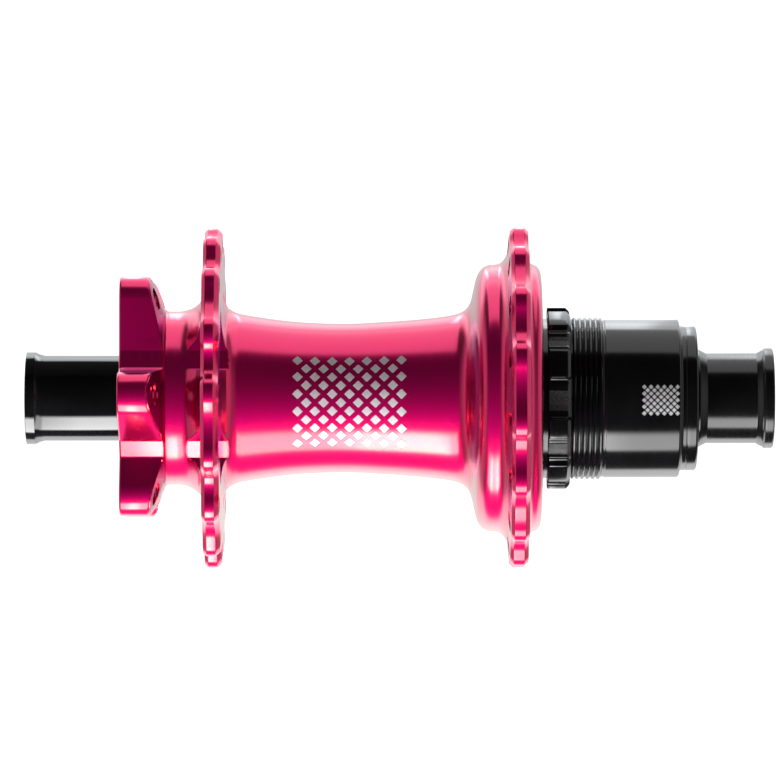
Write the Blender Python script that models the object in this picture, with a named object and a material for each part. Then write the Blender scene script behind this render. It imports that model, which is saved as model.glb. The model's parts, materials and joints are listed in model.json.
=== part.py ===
"""Rear bicycle hub, 12 x 148 mm thru-axle, six-bolt disc side, threaded-driver freehub.

X is the hub axis: -X the disc side, +X the drive side, +Z up. The origin is the middle of
the 148 mm between the two end faces. Lengths below are millimetres.
"""
import bmesh
import bpy
from math import atan2, cos, degrees, hypot, pi, radians, sin, sqrt
from mathutils import Matrix

MM = 0.001
HALF_WIDTH = 74.0        # over-locknut width / 2
BORE_R = 6.05            # for the 12 mm thru-axle
LEFT_FLANGE = (-38.65, -35.15)
RIGHT_FLANGE = (21.75, 25.45)
SPOKE_LOBES = 16         # one lobe per spoke hole on each flange
SPOKE_HOLE_R = 1.3
DISC_FACE_X = -55.05
DISC_BOLT_R = 22.0       # six bolts on 44 mm
DISC_LOBE_R = 4.5
FLOOR_R = 17.6           # flat floor of the six milled pockets
FRONT_ARM_DEG = 1.6      # arm nearest the viewer on the -Y side
TEETH = 72
TOOTH_TIP_R = 17.0
TOOTH_ROOT_R = 17.8
PAWLS = 6
PAWL_PIVOT_R = 14.9

MATERIALS = {
    "pink_anodised": ((0.80, 0.02, 0.22), 0.22, 1.0),
    "black_anodised": ((0.03, 0.03, 0.033), 0.32, 1.0),
    "bearing_steel": ((0.60, 0.60, 0.61), 0.20, 1.0),
    "tool_steel": ((0.36, 0.36, 0.38), 0.38, 1.0),
    "seal_rubber": ((0.03, 0.03, 0.03), 0.70, 0.0),
    "raw_aluminium": ((0.72, 0.72, 0.73), 0.35, 1.0),
}


def clear_scene():
    for ob in list(bpy.data.objects):
        bpy.data.objects.remove(ob, do_unlink=True)


def material(name):
    found = bpy.data.materials.get(name)
    if found:
        return found
    colour, roughness, metallic = MATERIALS[name]
    made = bpy.data.materials.new(name)
    made.use_nodes = True
    shader = made.node_tree.nodes["Principled BSDF"]
    shader.inputs["Base Color"].default_value = (*colour, 1.0)
    shader.inputs["Roughness"].default_value = roughness
    shader.inputs["Metallic"].default_value = metallic
    made.diffuse_color = (*colour, 1.0)
    return made


def make_object(name, bm, slot):
    """One named object from mesh data in millimetres."""
    bmesh.ops.scale(bm, vec=(MM, MM, MM), verts=bm.verts)
    bmesh.ops.recalc_face_normals(bm, faces=bm.faces)
    mesh = bpy.data.meshes.new(name)
    bm.to_mesh(mesh)
    bm.free()
    ob = bpy.data.objects.new(name, mesh)
    bpy.context.scene.collection.objects.link(ob)
    ob.data.materials.append(material(slot))
    mesh.shade_smooth()
    mesh.set_sharp_from_angle(angle=radians(32))
    return ob


def as_cutter(ob):
    ob.hide_render = True
    ob.display_type = "WIRE"
    return ob


def boolean(ob, other, operation):
    mod = ob.modifiers.new(operation.lower(), "BOOLEAN")
    mod.operation = operation
    mod.solver = "EXACT"
    mod.object = as_cutter(other)


def spin_profile(bm, profile, segments, closed):
    """Turn (x, r) points about the X axis: a ring if closed, else a solid ended by two discs."""
    rings = []
    for x, r in profile:
        ring = []
        for i in range(segments):
            a = 2 * pi * i / segments
            ring.append(bm.verts.new((x, -r * cos(a), r * sin(a))))
        rings.append(ring)
    pairs = list(zip(rings, rings[1:]))
    if closed:
        pairs.append((rings[-1], rings[0]))
    for a, b in pairs:
        for i in range(segments):
            j = (i + 1) % segments
            bm.faces.new((a[i], a[j], b[j], b[i]))
    if not closed:
        bm.faces.new(rings[0])
        bm.faces.new(rings[-1])


def turned(name, profile, slot, segments=20, closed=True):
    bm = bmesh.new()
    spin_profile(bm, profile, segments, closed)
    return make_object(name, bm, slot)


def loft(bm, sections):
    """Skin equal-length outlines, each a list of (x, front, z) with front towards -Y, and cap both ends."""
    rings = [[bm.verts.new((x, -f, z)) for x, f, z in section] for section in sections]
    count = len(rings[0])
    for a, b in zip(rings, rings[1:]):
        for i in range(count):
            j = (i + 1) % count
            bm.faces.new((a[i], a[j], b[j], b[i]))
    bm.faces.new(rings[0])
    bm.faces.new(rings[-1])


def arc(cx, cz, r, start, end, steps):
    """Points of an arc about (cx, cz), angles in degrees."""
    points = []
    for i in range(steps + 1):
        a = radians(start + (end - start) * i / steps)
        points.append((cx + r * cos(a), cz + r * sin(a)))
    return points


def turn2d(points, deg):
    a = radians(deg)
    return [(f * cos(a) - z * sin(a), f * sin(a) + z * cos(a)) for f, z in points]


def prism(bm, outline, x0, x1):
    loft(bm, [[(x, f, z) for f, z in outline] for x in (x0, x1)])


def rod(bm, f, z, r, x0, x1, segments=8):
    prism(bm, arc(f, z, r, 0, 360 - 360 / segments, segments - 1), x0, x1)


# ---------------------------------------------------------------- spoke flanges

def flange_outline(hole_r, lobe_r, phase, lean_deep, lean_shallow, inset):
    """Lobes joined by hollows that are tangent to them; every second hollow is the deeper one."""
    step = 360.0 / SPOKE_LOBES
    half = radians(step / 2)
    points = []
    for i in range(SPOKE_LOBES):
        after, before = (lean_deep, lean_shallow) if i % 2 == 0 else (lean_shallow, lean_deep)
        centre = phase + i * step
        cf = hole_r * cos(radians(centre))
        cz = hole_r * sin(radians(centre))
        first = centre - step / 2 - before
        last = centre + step / 2 + after
        points += arc(cf, cz, lobe_r - inset, first, last, 3)
        reach = hole_r * sin(half) / sin(radians(after))
        hollow_r = reach - lobe_r + inset
        middle = centre + step / 2
        away = hole_r * cos(half) + reach * cos(radians(after))
        vf = away * cos(radians(middle))
        vz = away * sin(radians(middle))
        steps = 3 if after == lean_deep else 2
        hollow = arc(vf, vz, hollow_r, middle + 180 + after, middle + 180 - after, steps)
        points += hollow[1:-1]
    return points


def flange(name, span, chamfers, hole_r, lobe_r, phase, lean_deep, lean_shallow):
    left, right = chamfers
    stations = ((span[0], left), (span[0] + left, 0.0), (span[1] - right, 0.0), (span[1], right))
    sections = []
    for x, inset in stations:
        outline = flange_outline(hole_r, lobe_r, phase, lean_deep, lean_shallow, inset)
        sections.append([(x, f, z) for f, z in outline])
    bm = bmesh.new()
    loft(bm, sections)
    return make_object(name, bm, "pink_anodised")


def spoke_holes(name, span, hole_r, phase):
    bm = bmesh.new()
    for i in range(SPOKE_LOBES):
        a = radians(phase + i * 360.0 / SPOKE_LOBES)
        rod(bm, hole_r * cos(a), hole_r * sin(a), SPOKE_HOLE_R, span[0] - 1, span[1] + 1)
    return make_object(name, bm, "pink_anodised")


# ---------------------------------------------------------------- disc mount

def pocket_corners():
    """Pocket below an arm at 0 degrees: the two ends of its flat floor."""
    return turn2d([(FLOOR_R, 2.0), (FLOOR_R, -1.9)], -36.6)


def disc_mount_outline():
    points = []
    for k in range(6):
        sector = arc(DISC_BOLT_R, 0.0, DISC_LOBE_R, 78, -58, 6) + pocket_corners()
        points += turn2d(sector, FRONT_ARM_DEG - 60 * k)
    return points


def disc_mount():
    """Six-armed disc whose back is a cone, so the arms thin out towards their tips."""
    apex_x, slope = -41.0, 0.31
    outline = disc_mount_outline()
    bm = bmesh.new()
    front = [bm.verts.new((DISC_FACE_X, -f, z)) for f, z in outline]
    back = [bm.verts.new((apex_x - slope * hypot(f, z), -f, z)) for f, z in outline]
    apex = bm.verts.new((apex_x, 0, 0))
    bm.faces.new(front)
    for i in range(len(outline)):
        j = (i + 1) % len(outline)
        bm.faces.new((front[i], front[j], back[j], back[i]))
        bm.faces.new((back[i], back[j], apex))
    return make_object("disc_mount_form", bm, "pink_anodised")


def disc_bolt_holes():
    bm = bmesh.new()
    for k in range(6):
        a = radians(FRONT_ARM_DEG + 60 * k)
        rod(bm, DISC_BOLT_R * cos(a), DISC_BOLT_R * sin(a), 2.2, DISC_FACE_X - 1, -46.0, 12)
    return make_object("disc_bolt_drill", bm, "pink_anodised")


def root_pockets():
    """The same six pockets, repeated in the roundings on both sides of the left flange."""
    upper, lower = pocket_corners()
    outline = [upper, lower, (16.6, -20.6), (27.0, -17.0), (27.3, -1.4)]
    bm = bmesh.new()
    for x0, x1 in ((-43.9, LEFT_FLANGE[0] - 0.2), (LEFT_FLANGE[1] + 0.2, -32.0)):
        for k in range(6):
            prism(bm, turn2d(outline, FRONT_ARM_DEG - 60 * k), x0, x1)
    return make_object("root_pocket_mill", bm, "pink_anodised")


# ---------------------------------------------------------------- hub shell

SHELL_OUTSIDE = [
    (DISC_FACE_X, 17.2), (-43.4, 17.2), (-40.6, 18.3), (-39.5, 19.4), (-38.9, 21.0), (-38.2, 23.0),
    (-35.6, 23.0), (-35.1, 20.8), (-34.8, 19.1), (-33.3, 17.4), (-31.7, 16.7), (-28.5, 16.2),
    (-23.8, 15.4), (-15.8, 14.8), (-7.9, 14.8), (0.0, 15.3), (6.4, 15.9), (11.2, 16.8), (13.3, 18.0),
    (14.2, 19.4), (15.2, 24.0), (16.2, 25.7), (20.6, 27.2), (22.2, 29.0), (24.9, 29.0), (25.6, 26.9),
    (26.9, 26.4), (28.0, 24.4),
]
SHELL_INSIDE = [
    (DISC_FACE_X - 1, 15.15), (-47.0, 15.15), (-47.0, 12.8), (-45.4, 12.2), (11.2, 12.2), (12.7, 12.8),
    (12.7, 15.15), (20.5, 15.15), (20.5, 20.6), (29.0, 20.6),
]


def hub_shell():
    shell = turned("hub_shell", SHELL_OUTSIDE, "pink_anodised", 32, closed=False)
    boolean(shell, flange("left_flange_form", LEFT_FLANGE, (0.7, 1.0), 30.0, 3.7, 1.6, 48, 26), "UNION")
    boolean(shell, flange("right_flange_form", RIGHT_FLANGE, (0.75, 0.85), 30.3, 3.77, 14.2, 36, 25), "UNION")
    boolean(shell, disc_mount(), "UNION")
    bore = turned("shell_bore_tool", SHELL_INSIDE, "pink_anodised", 32, closed=False)
    boolean(shell, bore, "DIFFERENCE")
    boolean(shell, root_pockets(), "DIFFERENCE")
    boolean(shell, spoke_holes("left_spoke_drill", LEFT_FLANGE, 30.0, 1.6), "DIFFERENCE")
    boolean(shell, spoke_holes("right_spoke_drill", RIGHT_FLANGE, 30.3, 14.2), "DIFFERENCE")
    boolean(shell, disc_bolt_holes(), "DIFFERENCE")
    return shell


def ratchet_ring():
    """Internal saw teeth; each steep face looks against the way the driver pushes."""
    bm = bmesh.new()
    rod(bm, 0, 0, 20.3, 20.8, 26.8, 36)
    ring = make_object("ratchet_ring", bm, "tool_steel")
    pitch = 360.0 / TEETH
    steep = tooth_face_deg()
    outline = []
    for i in range(TEETH):
        for deg, r in ((steep + i * pitch + 0.05, TOOTH_TIP_R), (steep + (i + 1) * pitch - 0.05, TOOTH_ROOT_R)):
            outline.append((r * cos(radians(deg)), r * sin(radians(deg))))
    bm = bmesh.new()
    prism(bm, outline, 19.0, 29.0)
    boolean(ring, make_object("ratchet_broach", bm, "tool_steel"), "DIFFERENCE")
    return ring


# ---------------------------------------------------------------- pawls

ENGAGE_DEG = 10.0
PAWL_OUTLINE = (
    arc(0, 0, 1.3, 75, 275, 5) + [(1.4, -0.85), (6.0, -0.85), (6.2, 0.39), (5.7, 0.42), (4.6, 0.35)]
)
POCKET_OUTLINE = arc(0, 0, 1.65, 180, 262, 2) + [(1.3, -1.8), (6.55, -1.8), (6.55, 2.6), (-1.65, 2.6)]
SPRING_OUTLINE = [(1.5, -1.55), (5.5, -1.55), (6.1, -1.4), (5.9, -1.15), (5.4, -1.3), (1.5, -1.3)]


def pawl_deg(k):
    return 30.0 + k * 360.0 / PAWLS


def tooth_face_deg():
    """Steep face just ahead of the tip of an engaged pawl whose pivot is at pawl_deg(0)."""
    (tip,) = turn2d([(6.2, 0.39)], ENGAGE_DEG)
    return pawl_deg(0) + degrees(atan2(tip[0], PAWL_PIVOT_R + tip[1])) + 1.0


def at_pawl(points, k):
    """From (along, outward) about the pivot to (front, z)."""
    placed = [(PAWL_PIVOT_R + v, u) for u, v in points]
    return turn2d(placed, pawl_deg(k))


def pawl(k):
    """The object's origin lies on the pivot axis."""
    pf, pz = at_pawl([(0.0, 0.0)], k)[0]
    outline = [(f - pf, z - pz) for f, z in at_pawl(PAWL_OUTLINE, k)]
    bm = bmesh.new()
    prism(bm, outline, -2.3, 2.3)
    ob = make_object(f"pawl_{k + 1}", bm, "tool_steel")
    ob.location = (23.9 * MM, -pf * MM, pz * MM)
    return ob


def pawl_spring(k):
    bm = bmesh.new()
    prism(bm, at_pawl(SPRING_OUTLINE, k), 22.6, 25.2)
    return make_object(f"pawl_spring_{k + 1}", bm, "bearing_steel")


# ---------------------------------------------------------------- freehub

def freehub_profile():
    points = [(20.7, 15.9), (21.1, 16.4), (27.0, 16.4), (27.0, 15.9), (29.15, 15.9), (29.2, 16.5), (33.6, 16.5)]
    for i in range(6):
        crest = 34.1 + i * 1.05
        points += [(crest - 0.42, 15.65), (crest, 16.15)]
    points += [(39.8, 15.7), (54.7, 15.7), (55.3, 15.15), (55.45, 14.32), (58.15, 14.32), (58.75, 13.7)]
    return points


FREEHUB_BORE = [
    (19.0, 12.15), (26.6, 12.15), (26.6, 10.6), (52.4, 10.6), (52.4, 12.15), (57.8, 12.15),
    (57.8, 12.75), (58.45, 12.75), (58.45, 12.15), (60.0, 12.15),
]


def spline_lugs():
    """Eight wide splines and a narrow one, so that a cassette goes on one way round."""
    bm = bmesh.new()
    for k in range(9):
        middle, half = (-20.2, 2.05) if k == 8 else (22.8 + 40 * k, 3.0)
        crown = sqrt(18.02 ** 2 - half ** 2)
        base = turn2d([(15.9, -half - 0.15), (crown - 0.17, -half), (crown, -half + 0.08), (18.02, 0.0),
                       (crown, half - 0.08), (crown - 0.17, half), (15.9, half + 0.15)], middle)
        low = [(f * 0.956, z * 0.956) for f, z in base]
        loft(bm, [[(29.25, f, z) for f, z in base], [(33.0, f, z) for f, z in base],
                  [(33.75, f, z) for f, z in low]])
    return make_object("spline_lug_forms", bm, "black_anodised")


def freehub_body():
    body = turned("freehub_body", freehub_profile(), "black_anodised", 32, closed=False)
    boolean(body, spline_lugs(), "UNION")
    bore = turned("freehub_bore_tool", FREEHUB_BORE, "black_anodised", 32, closed=False)
    boolean(body, bore, "DIFFERENCE")
    bm = bmesh.new()
    for k in range(PAWLS):
        prism(bm, at_pawl(POCKET_OUTLINE, k), 21.3, 26.5)
    boolean(body, make_object("pawl_pocket_mill", bm, "black_anodised"), "DIFFERENCE")
    return body


def retaining_clip():
    clip = turned("freehub_retaining_clip", [(57.95, 10.8), (57.95, 12.5), (58.3, 12.5), (58.3, 10.8)],
                  "bearing_steel", 24)
    bm = bmesh.new()
    prism(bm, [(9.0, -1.6), (14.0, -1.6), (14.0, 1.6), (9.0, 1.6)], 57.0, 59.0)
    boolean(clip, make_object("clip_gap_cut", bm, "bearing_steel"), "DIFFERENCE")
    return clip


# ---------------------------------------------------------------- bearings

# name: (x of the low end, width, inner radius, outer radius, ball pitch radius, ball radius)
BEARINGS = {
    "left_shell_bearing": (-54.3, 7.0, 8.65, 14.85, 11.75, 1.9),
    "right_shell_bearing": (13.0, 7.0, 8.65, 14.85, 11.75, 1.9),
    "inner_freehub_bearing": (21.4, 5.0, 7.65, 11.85, 9.75, 1.2),
    "outer_freehub_bearing": (52.6, 5.0, 7.65, 11.85, 9.75, 1.2),
}


def ball_set(name, middle, pitch_r, ball_r):
    """Seven balls and the cage band through them, made as one piece that rolls round together."""
    band = turned(name, [(middle - 0.45, pitch_r - 0.35), (middle - 0.45, pitch_r + 0.35),
                         (middle + 0.45, pitch_r + 0.35), (middle + 0.45, pitch_r - 0.35)], "bearing_steel")
    bm = bmesh.new()
    for i in range(7):
        a = 2 * pi * i / 7
        place = Matrix.Translation((middle, -pitch_r * cos(a), pitch_r * sin(a)))
        bmesh.ops.create_uvsphere(bm, u_segments=6, v_segments=4, radius=ball_r, matrix=place)
    boolean(band, make_object(name + "_balls_form", bm, "bearing_steel"), "UNION")
    return band


def bearing(name):
    x, width, inner, outer, pitch, ball = BEARINGS[name]
    middle, end = x + width / 2, x + width
    land, track = ball * 0.58, ball * 1.16 + 0.55
    mouth = ball + 0.35
    for ring, bore, side in (("inner", inner, -1), ("outer", outer, 1)):
        flat, deep = pitch + side * land, pitch + side * track
        turned(f"{name}_{ring}_race", [
            (x, bore), (x, flat), (middle - mouth, flat), (middle, deep), (middle + mouth, flat), (end, flat),
            (end, bore),
        ], "bearing_steel")
    ball_set(name + "_ball_set", middle, pitch, ball)
    low, high = pitch - land + 0.25, pitch + land - 0.3
    for side, start in (("left", x + 0.1), ("right", end - 0.5)):
        turned(f"{name}_{side}_seal", [(start, low), (start, high), (start + 0.4, high), (start + 0.4, low)],
               "seal_rubber")


# ---------------------------------------------------------------- axle group

def axle():
    outside = [
        (-68.2, 7.35), (-64.6, 7.35), (-64.6, 6.65), (-63.4, 6.65), (-63.4, 7.35),
        (-54.5, 7.35), (-54.5, 8.35), (-47.0, 8.35), (-47.0, 9.6), (-45.6, 9.6), (-44.6, 8.6), (10.4, 8.6),
        (11.4, 9.6), (12.7, 9.6), (12.7, 8.35), (20.2, 8.35), (20.2, 7.35), (63.4, 7.35), (63.4, 6.65),
        (64.6, 6.65), (64.6, 7.35), (68.2, 7.35),
    ]
    bore = [(68.2, 6.1), (-68.2, 6.1)]
    turned("axle", outside + bore, "raw_aluminium", 24)


def end_caps():
    turned("left_end_cap", [
        (-54.65, 7.8), (-68.5, 7.8), (-68.5, BORE_R), (-HALF_WIDTH, BORE_R), (-HALF_WIDTH, 8.95),
        (-73.8, 9.15), (-72.1, 9.15), (-71.4, 8.8), (-70.4, 8.48), (-55.5, 8.48), (-55.4, 9.9), (-54.65, 9.9),
    ], "black_anodised", 24)
    turned("right_end_cap", [
        (57.9, 7.8), (57.9, 8.8), (58.95, 8.8), (58.95, 9.6), (59.2, 9.7), (59.8, 9.45), (60.8, 8.95),
        (70.6, 8.95), (71.4, 9.4), (72.3, 9.93), (73.75, 9.93), (HALF_WIDTH, 9.7), (HALF_WIDTH, BORE_R),
        (68.5, BORE_R), (68.5, 7.8),
    ], "black_anodised", 24)


def rings():
    for name, middle in (("left_end_cap_o_ring", -64.0), ("right_end_cap_o_ring", 64.0)):
        section = arc(middle, 7.2, 0.36, 0, 288, 4)
        turned(name, section, "seal_rubber", 24)
    turned("left_dust_shield", [(-54.95, 10.3), (-54.95, 14.75), (-54.5, 14.75), (-54.5, 10.3)], "seal_rubber")
    turned("freehub_lip_seal", [(27.25, 16.1), (27.25, 19.6), (27.6, 20.1), (27.95, 20.1), (27.95, 16.1)],
           "seal_rubber", 24)
    turned("axle_step_spacer", [(20.35, 7.7), (20.35, 9.3), (21.1, 9.3), (21.1, 7.7)], "raw_aluminium")
    turned("freehub_bearing_spacer", [(26.7, 7.7), (26.7, 8.8), (52.3, 8.8), (52.3, 7.7)], "raw_aluminium")


def main():
    clear_scene()
    hub_shell()
    ratchet_ring()
    freehub_body()
    retaining_clip()
    for k in range(PAWLS):
        pawl(k)
        pawl_spring(k)
    for name in BEARINGS:
        bearing(name)
    axle()
    end_caps()
    rings()


main()
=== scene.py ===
import json
from math import asin, atan2, ceil, cos, degrees, hypot, pi, radians, sin, tan

import bmesh
import bpy
import numpy as np
from mathutils import Matrix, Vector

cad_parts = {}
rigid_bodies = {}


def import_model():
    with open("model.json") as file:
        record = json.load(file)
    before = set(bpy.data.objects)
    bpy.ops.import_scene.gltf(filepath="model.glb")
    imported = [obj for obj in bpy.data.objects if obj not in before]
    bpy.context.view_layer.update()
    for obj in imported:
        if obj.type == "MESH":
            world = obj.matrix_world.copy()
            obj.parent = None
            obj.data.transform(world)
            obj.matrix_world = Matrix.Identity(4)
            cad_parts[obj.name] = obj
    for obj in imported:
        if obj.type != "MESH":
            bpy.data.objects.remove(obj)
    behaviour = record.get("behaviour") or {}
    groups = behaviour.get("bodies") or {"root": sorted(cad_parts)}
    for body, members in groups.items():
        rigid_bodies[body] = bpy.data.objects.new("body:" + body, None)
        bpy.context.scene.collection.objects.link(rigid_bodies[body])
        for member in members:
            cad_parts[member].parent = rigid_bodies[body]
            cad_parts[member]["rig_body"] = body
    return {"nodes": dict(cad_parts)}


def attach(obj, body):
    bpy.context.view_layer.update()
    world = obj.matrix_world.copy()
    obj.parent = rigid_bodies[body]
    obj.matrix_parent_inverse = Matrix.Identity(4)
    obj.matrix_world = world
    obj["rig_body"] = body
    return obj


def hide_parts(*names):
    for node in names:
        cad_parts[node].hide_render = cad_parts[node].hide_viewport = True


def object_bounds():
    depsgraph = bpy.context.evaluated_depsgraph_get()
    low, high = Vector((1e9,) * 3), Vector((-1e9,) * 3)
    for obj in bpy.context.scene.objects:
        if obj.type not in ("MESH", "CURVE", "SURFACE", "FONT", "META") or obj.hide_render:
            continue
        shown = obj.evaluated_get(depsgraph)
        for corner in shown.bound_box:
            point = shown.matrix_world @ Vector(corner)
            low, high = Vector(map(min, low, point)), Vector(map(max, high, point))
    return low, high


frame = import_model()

MM = 0.001
CAD_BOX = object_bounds()
SHARP_DEG = 32.0
SPOKE_LOBES = 16
LEFT_FLANGE = (-38.65, -35.15)
LEFT_LOBES = {"hole_r": 30.0, "lobe_r": 3.7, "phase": 1.6, "lean_deep": 48, "lean_shallow": 26}
RIGHT_FLANGE = (21.75, 25.45)
RIGHT_LOBES = {"hole_r": 30.3, "lobe_r": 3.77, "phase": 14.2, "lean_deep": 36, "lean_shallow": 25}
DISC_ARMS = 6
ARM_STEP_DEG = 360 / DISC_ARMS
DISC_FACE_X = -55.05
DISC_BOLT_R = 22.0
DISC_LOBE_R = 4.5
DISC_EDGE = 0.42
DISC_CONE_APEX_X = -41.0
DISC_CONE_SLOPE = 0.31
NECK_R = 17.2
FLOOR_R = 17.6
FRONT_ARM_DEG = 1.6
PAWLS = 6
PAWL_PIVOT_R = 14.9
SPLINES = 9
SPLINE_CROWN_R = 18.02
SPLINE_VALLEY_R = 16.5
BALLS = 7
LAND_SHARE = 0.58
BORE_R = 6.05
SHELL_STEPS = 900
DRIVER_STEPS = 720
WHITE = (1, 1, 1)


# ================================================================ mesh helpers

def angles(count):
    """Evenly spread angles about the hub axis; 0 faces the viewer, positive is up."""
    return np.arange(count) * 2 * pi / count


def finish_mesh(name, bm, sharp_deg=SHARP_DEG):
    """Weld the bmesh, turn its faces outwards and make it a smooth object with sharp edges."""
    bmesh.ops.remove_doubles(bm, verts=bm.verts, dist=2e-7)
    bmesh.ops.dissolve_degenerate(bm, edges=bm.edges, dist=1e-7)
    bmesh.ops.recalc_face_normals(bm, faces=bm.faces)
    mesh = bpy.data.meshes.new(name)
    bm.to_mesh(mesh)
    bm.free()
    ob = bpy.data.objects.new(name, mesh)
    bpy.context.scene.collection.objects.link(ob)
    mesh.shade_smooth()
    mesh.set_sharp_from_angle(angle=radians(sharp_deg))
    return ob


def skin(name, rows, count):
    """Skin a closed section of (x, r) rows about the axis. x and r are numbers, or one value per angle."""
    theta = angles(count)
    xs = np.array([np.broadcast_to(x, count) for x, _ in rows], float)
    rs = np.array([np.broadcast_to(r, count) for _, r in rows], float)
    co = np.stack([xs, -rs * np.cos(theta), rs * np.sin(theta)], axis=-1).reshape(-1, 3) * MM
    i, j = np.meshgrid(np.arange(len(rows)), np.arange(count), indexing="ij")
    k, n = (i + 1) % len(rows), (j + 1) % count
    quads = np.stack([i * count + j, i * count + n, k * count + n, k * count + j], axis=-1).reshape(-1, 4)
    mesh = bpy.data.meshes.new(name + "_grid")
    mesh.from_pydata(co.tolist(), [], quads.tolist())
    bm = bmesh.new()
    bm.from_mesh(mesh)
    bpy.data.meshes.remove(mesh)
    return finish_mesh(name, bm)


def fillet(before, corner, after, radius, steps=4):
    """Points of a rounding at a corner; the radius shrinks if a side is too short."""
    ax, ar = before[0] - corner[0], before[1] - corner[1]
    bx, br = after[0] - corner[0], after[1] - corner[1]
    la, lb = hypot(ax, ar), hypot(bx, br)
    if la < 1e-6 or lb < 1e-6:
        return [corner]
    ax, ar, bx, br = ax / la, ar / la, bx / lb, br / lb
    half = np.arccos(np.clip(ax * bx + ar * br, -1, 1)) / 2
    if half > radians(80):
        return [corner]
    reach = min(radius / tan(half), 0.48 * la, 0.48 * lb)
    r = reach * tan(half)
    mx, mr = ax + bx, ar + br
    lm = hypot(mx, mr)
    centre = (corner[0] + mx / lm * r / sin(half), corner[1] + mr / lm * r / sin(half))
    start = (corner[0] + ax * reach, corner[1] + ar * reach)
    end = (corner[0] + bx * reach, corner[1] + br * reach)
    a0 = atan2(start[1] - centre[1], start[0] - centre[0])
    a1 = atan2(end[1] - centre[1], end[0] - centre[0])
    turn = (a1 - a0 + pi) % (2 * pi) - pi
    return [(centre[0] + r * cos(a0 + turn * s / steps), centre[1] + r * sin(a0 + turn * s / steps))
            for s in range(steps + 1)]


def rounded(profile, radius, closed=True):
    """A profile with every corner rounded."""
    out = []
    n = len(profile)
    for i, point in enumerate(profile):
        if not closed and i in (0, n - 1):
            out.append(point)
            continue
        out += fillet(profile[i - 1], point, profile[(i + 1) % n], radius)
    return out


def through(points, steps):
    """A smooth curve through the points."""
    out = []
    for i in range(len(points) - 1):
        p0, p1, p2 = points[max(i - 1, 0)], points[i], points[i + 1]
        p3 = points[min(i + 2, len(points) - 1)]
        for s in range(steps):
            t = s / steps
            out.append(tuple(0.5 * (2 * b + (c - a) * t + (2 * a - 5 * b + 4 * c - d) * t * t
                                    + (3 * b - a - 3 * c + d) * t ** 3)
                             for a, b, c, d in zip(p0, p1, p2, p3)))
    return out + [points[-1]]


def arc(cx, cz, r, start, end, steps):
    """Points of an arc about (cx, cz), angles in degrees."""
    turn = np.radians(np.linspace(start, end, steps + 1))
    return list(zip(cx + r * np.cos(turn), cz + r * np.sin(turn)))


def turn2d(points, deg):
    """Points of (front, z) turned about the hub axis, upwards on the viewer's side."""
    a = radians(deg)
    return [(f * cos(a) - z * sin(a), f * sin(a) + z * cos(a)) for f, z in points]


def outline_radius(outline, count, nearest=False):
    """Distance from the axis to an outline of (front, z) points, at every angle."""
    p = np.array(outline, float)
    d = np.roll(p, -1, axis=0) - p
    theta = angles(count)
    uf, uz = np.cos(theta), np.sin(theta)
    cross = uf * d[:, 1:] - uz * d[:, :1]
    cross = np.where(np.abs(cross) < 1e-12, 1e-12, cross)
    r = (p[:, :1] * d[:, 1:] - p[:, 1:] * d[:, :1]) / cross
    t = (p[:, :1] * uz - p[:, 1:] * uf) / cross
    hit = (t > -1e-7) & (t < 1 + 1e-7) & (r > 0)
    if nearest:
        return np.where(hit, r, 1e3).min(axis=0)
    return np.where(hit, r, 0.0).max(axis=0)


def inset_outline(outline, inset):
    """Move a counterclockwise outline inwards by a distance, keeping its point count."""
    p = np.array(outline, float)
    a = p - np.roll(p, 1, axis=0)
    b = np.roll(p, -1, axis=0) - p
    a /= np.maximum(np.hypot(a[:, 0], a[:, 1]), 1e-9)[:, None]
    b /= np.maximum(np.hypot(b[:, 0], b[:, 1]), 1e-9)[:, None]
    na = np.stack([-a[:, 1], a[:, 0]], axis=1)
    nb = np.stack([-b[:, 1], b[:, 0]], axis=1)
    share = np.maximum(1 + (na * nb).sum(axis=1), 0.35)
    return p + inset * (na + nb) / share[:, None]


def prism_into(bm, outline, x0, x1):
    """Add a closed prism along the axis, from an outline of (front, z) points."""
    rings = [[bm.verts.new((x * MM, -f * MM, z * MM)) for f, z in outline] for x in (x0, x1)]
    n = len(outline)
    for i in range(n):
        j = (i + 1) % n
        bm.faces.new((rings[0][i], rings[0][j], rings[1][j], rings[1][i]))
    bm.faces.new(rings[0])
    bm.faces.new(rings[1])


def drill_into(bm, f, z, profile, segments=24):
    """Add a turned cutter along X about (f, z), from (x, r) points."""
    rings = []
    for x, r in profile:
        ring = arc(f, z, r, 0, 360 - 360 / segments, segments - 1)
        rings.append([bm.verts.new((x * MM, -pf * MM, pz * MM)) for pf, pz in ring])
    for a, b in zip(rings, rings[1:]):
        for i in range(segments):
            j = (i + 1) % segments
            bm.faces.new((a[i], a[j], b[j], b[i]))
    bm.faces.new(rings[0])
    bm.faces.new(rings[-1])


def cut(ob, bm):
    """Take the cutters in bm out of ob for good, and keep its smooth and sharp shading."""
    tool = finish_mesh(ob.name + "_cutters", bm)
    mod = ob.modifiers.new("cut", "BOOLEAN")
    mod.operation = "DIFFERENCE"
    mod.solver = "EXACT"
    mod.object = tool
    depsgraph = bpy.context.evaluated_depsgraph_get()
    mesh = bpy.data.meshes.new_from_object(ob.evaluated_get(depsgraph))
    ob.modifiers.clear()
    ob.data = mesh
    mesh.shade_smooth()
    mesh.set_sharp_from_angle(angle=radians(SHARP_DEG))
    bpy.data.objects.remove(tool, do_unlink=True)


# ================================================================ hub shell

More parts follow.
